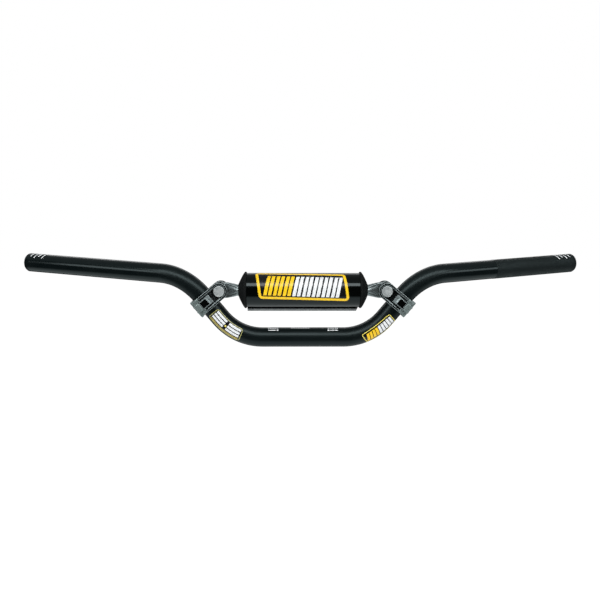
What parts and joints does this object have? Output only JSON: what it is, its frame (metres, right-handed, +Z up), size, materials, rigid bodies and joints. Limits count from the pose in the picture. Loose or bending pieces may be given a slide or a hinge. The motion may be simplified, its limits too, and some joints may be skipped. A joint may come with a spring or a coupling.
{
  "type": "motorcycle handlebar",
  "caption": "Off-road motorcycle handlebar, a bent black tube braced by a clamp-on crossbar that carries a round foam pad in a wrapped cover.",
  "frame": {"origin": "centre of the straight section that the stem clamps hold, on the tube's axis", "axes": "+X along the bar towards the knurled clutch end, +Y back towards the rider, +Z up"},
  "size_m": [0.6728, 0.1033, 0.101],
  "materials": {
    "black_anodised": "gloss black anodised",
    "grey_aluminium": "satin grey",
    "dark_casting": "satin gunmetal",
    "grey_casting": "satin grey",
    "bright_steel": "turned, bright",
    "zinc_screws": "zinc plated",
    "nylon": "matte",
    "foam": "matte closed-cell foam",
    "cover_vinyl": "glossy coated cloth",
    "closure_tape": "hook and loop",
    "decal_film": "printed film"
  },
  "bodies": {
    "frame": {"bar_tube": "black_anodised", "crossbar_tube": "grey_aluminium", "left_clamp_body": "dark_casting", "right_clamp_body": "dark_casting", "left_clamp_cap": "grey_casting", "right_clamp_cap": "grey_casting", "left_clamp_screws": "zinc_screws", "right_clamp_screws": "zinc_screws", "left_pivot_sleeve": "bright_steel", "right_pivot_sleeve": "bright_steel", "left_pivot_screw": "zinc_screws", "right_pivot_screw": "zinc_screws", "left_fork_washers": "nylon", "right_fork_washers": "nylon", "left_decal": "decal_film", "right_decal": "decal_film"},
    "pad": {"pad_foam": "foam", "pad_cover": "cover_vinyl", "pad_hook_strip": "closure_tape"},
    "flap": {"pad_flap": "cover_vinyl", "pad_loop_strip": "closure_tape"}
  },
  "joints": [
    {"name": "pad_turn", "type": "hinge", "parent": "frame", "child": "pad", "pos_m": [0, 0, 0.05416], "axis": [1, 0, 0], "continuous": true},
    {"name": "flap_peel", "type": "hinge", "parent": "pad", "child": "flap", "pos_m": [0, -0.00143, 0.03396], "axis": [-1, 0, 0], "range_deg": [0, 85]}
  ]
}
